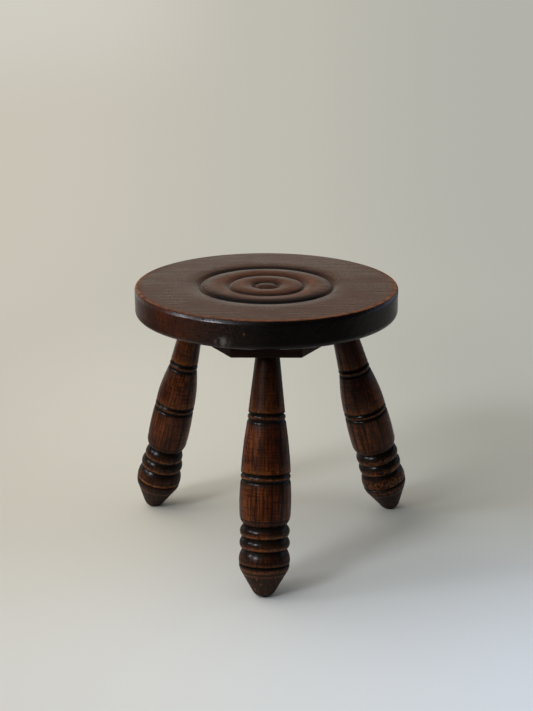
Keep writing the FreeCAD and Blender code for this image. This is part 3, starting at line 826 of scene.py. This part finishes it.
def backdrop_mesh():
    """Return the mesh of the floor, its curve and the wall, as one shape turned about Z."""
    profile = [(FLOOR_RADIUS * step / CURVE_STEPS, 0) for step in range(1, CURVE_STEPS + 1)]
    for step in range(1, CURVE_STEPS + 1):
        angle = math.pi / 2 * step / CURVE_STEPS
        rise = CURVE_RADIUS * (1 - math.cos(angle))
        profile.append((FLOOR_RADIUS + CURVE_RADIUS * math.sin(angle), rise))
    profile.append((FLOOR_RADIUS + CURVE_RADIUS, WALL_TOP))
    vertices = [(0, 0, 0)]
    for radius, height in profile:
        for step in range(ROUND_STEPS):
            angle = 2 * math.pi * step / ROUND_STEPS
            vertices.append((radius * math.cos(angle), radius * math.sin(angle), height))
    faces = [(0, 1 + step, 1 + (step + 1) % ROUND_STEPS) for step in range(ROUND_STEPS)]
    for row in range(len(profile) - 1):
        start = 1 + row * ROUND_STEPS
        above = start + ROUND_STEPS
        for step in range(ROUND_STEPS):
            following = (step + 1) % ROUND_STEPS
            faces.append((start + step, above + step, above + following, start + following))
    mesh = bpy.data.meshes.new("backdrop")
    mesh.from_pydata(vertices, [], faces)
    for polygon in mesh.polygons:
        polygon.use_smooth = True
    return mesh


def camera_or(tree, seen, unseen):
    """Return one colour for the camera's own rays and another for all other rays."""
    path = add_node(tree, "ShaderNodeLightPath")
    return blend(tree, path.outputs["Is Camera Ray"], unseen, seen)


def glossy_or(tree, mirrored, lit):
    """Return one colour for rays that a gloss mirrors and another for all other rays."""
    path = add_node(tree, "ShaderNodeLightPath")
    return blend(tree, path.outputs["Is Glossy Ray"], lit, mirrored)


def wall_seen(tree, across, up):
    """Return the wall's colour for the camera."""
    side = span(tree, across, *WALL_SIDEWAYS)
    colour = blend(tree, span(tree, side, *WALL_LEFT_HALF), linear(WALL_LEFT), linear(WALL_MIDDLE))
    colour = cover(tree, colour, span(tree, side, *WALL_RIGHT_HALF), WALL_RIGHT)
    upper_left = times(tree, span(tree, up, *WALL_UPWARDS), span(tree, side, *WALL_LEFTWARDS))
    return cover(tree, colour, upper_left, WALL_UPPER_LEFT)


def wall_glow(tree, across, back):
    """Return the light that the wall casts on the stool."""
    colour = blend(tree, span(tree, across, *GLOW_SIDEWAYS), linear(GLOW_LEFT), linear(GLOW_RIGHT))
    colour = cover(tree, colour, span(tree, back, *GLOW_BEHIND), GLOW_BACK)
    return cover(tree, colour, span(tree, back, *GLOW_BEFORE), GLOW_FRONT)


def sheen_beside(tree, across, back):
    """Return what the wood mirrors at the stool's sides."""
    colour = blend(tree, span(tree, across, *SHEEN_BESIDE_RIGHT), linear(SHEEN_LEFT), linear(SHEEN_RIGHT))
    return cover(tree, colour, span(tree, back, *SHEEN_BESIDE_FRONT), SHEEN_LEFT)


def wall_sheen(tree, across, back, up):
    """Return what the wood mirrors of the wall."""
    colour = blend(tree, span(tree, up, *SHEEN_DOWNWARDS), linear(SHEEN_BACK), linear(SHEEN_LOW))
    colour = cover(tree, colour, span(tree, across, *SHEEN_FAR_RIGHT), SHEEN_BACK_RIGHT)
    colour = blend(tree, span(tree, back, *SHEEN_BEHIND), sheen_beside(tree, across, back), colour)
    colour = cover(tree, colour, span(tree, back, *SHEEN_BEFORE), GLOW_FRONT)
    window = times(tree, span(tree, across, *WINDOW_RIGHT), span(tree, up, *WINDOW_UP))
    window = times(tree, window, span(tree, back, *WINDOW_BEHIND))
    return cover(tree, colour, window, SHEEN_WINDOW)


def floor_seen(tree, across, back):
    """Return the floor's colour for the camera: a painted shadow of the stool darkens the far right, and
    painted tints of the light make the left warm and the near right cool.
    """
    side = span(tree, across, *FLOOR_SIDEWAYS)
    far = blend(tree, side, linear(FLOOR_FAR_LEFT), linear(FLOOR_FAR_RIGHT_SHADOW))
    near = blend(tree, side, linear(FLOOR_NEAR_LEFT), linear(FLOOR_NEAR_RIGHT))
    return blend(tree, span(tree, back, *FLOOR_FARAWAY), near, far)


def floor_sheen(tree, across, back):
    """Return what the wood mirrors of the floor."""
    ends = span(tree, maths(tree, "ABSOLUTE", across), *SHEEN_FLOOR_ENDS)
    colour = blend(tree, ends, linear(SHEEN_FLOOR), sheen_beside(tree, across, back))
    return cover(tree, colour, span(tree, back, *SHEEN_FLOOR_FRONT), SHEEN_FRONT)


def make_backdrop():
    """Make the pale floor and wall: the floor takes shadows, and the wall only glows."""
    backdrop = bpy.data.objects.new("backdrop", backdrop_mesh())
    bpy.context.scene.collection.objects.link(backdrop)
    material, tree, shader, place = new_material("paper")
    tree.nodes.remove(shader)
    across, back, up = parts_of(tree, place)
    glow = glossy_or(tree, wall_sheen(tree, across, back, up), wall_glow(tree, across, back))
    wall_colour = camera_or(tree, wall_seen(tree, across, up), glow)
    wall = add_node(tree, "ShaderNodeEmission", {"Color": wall_colour})
    pale = floor_seen(tree, across, back)
    dim = cover(tree, pale, span(tree, back, PAPER_EDGE, PAPER_EDGE - PAPER_FADE), GLOW_FRONT)
    floor_colour = camera_or(tree, pale, glossy_or(tree, floor_sheen(tree, across, back), dim))
    floor = add_node(tree, "ShaderNodeBsdfDiffuse", {"Color": floor_colour})
    share = span(tree, length_of(tree, mapped(tree, place, ACROSS_ONLY)), *FLOOR_TO_WALL)
    both = add_node(tree, "ShaderNodeMixShader", {0: share, 1: floor.outputs[0], 2: wall.outputs[0]})
    tree.links.new(both.outputs[0], tree.nodes["Material Output"].inputs["Surface"])
    dress(backdrop, material)


def make_world():
    """Make the light of the room above the wall."""
    world = bpy.data.worlds.new("room")
    bpy.context.scene.world = world
    world.use_nodes = True
    tree = world.node_tree
    background = tree.nodes["Background"]
    across, back, _ = parts_of(tree, add_node(tree, "ShaderNodeTexCoord").outputs["Generated"])
    glow = blend(tree, span(tree, across, *SKY_SIDEWAYS), linear(SKY_LEFT), linear(SKY_RIGHT))
    glow = cover(tree, glow, span(tree, back, *SKY_BEFORE), GLOW_FRONT)
    glow = glossy_or(tree, linear(SHEEN_SKY), glow)
    tree.links.new(camera_or(tree, linear(WALL_MIDDLE), glow), background.inputs["Color"])
    by_camera = add_node(tree, "ShaderNodeLightPath").outputs["Is Camera Ray"]
    tree.links.new(span(tree, by_camera, 0, 1, SKY_STRENGTH, 1), background.inputs["Strength"])


make_camera()
make_windows()
make_backdrop()
make_world()
bpy.context.scene.view_settings.view_transform = "Standard"

dress(nodes["seat"], seat_material())
dress(nodes["under_block"], plain_wood("block_wood", BLOCK_STAIN, BLOCK_ROUGHNESS))
for name, leg in LEGS.items():
    dress(nodes[name], leg_material(f"{name}_wood", leg))
wedge_wood = plain_wood("wedge_wood", BARE_WOOD, WEDGE_ROUGHNESS)
steel = steel_material()
for name, node in nodes.items():
    if name.startswith("wedge"):
        dress(node, wedge_wood)
    if name.startswith("block_screw"):
        dress(node, steel)
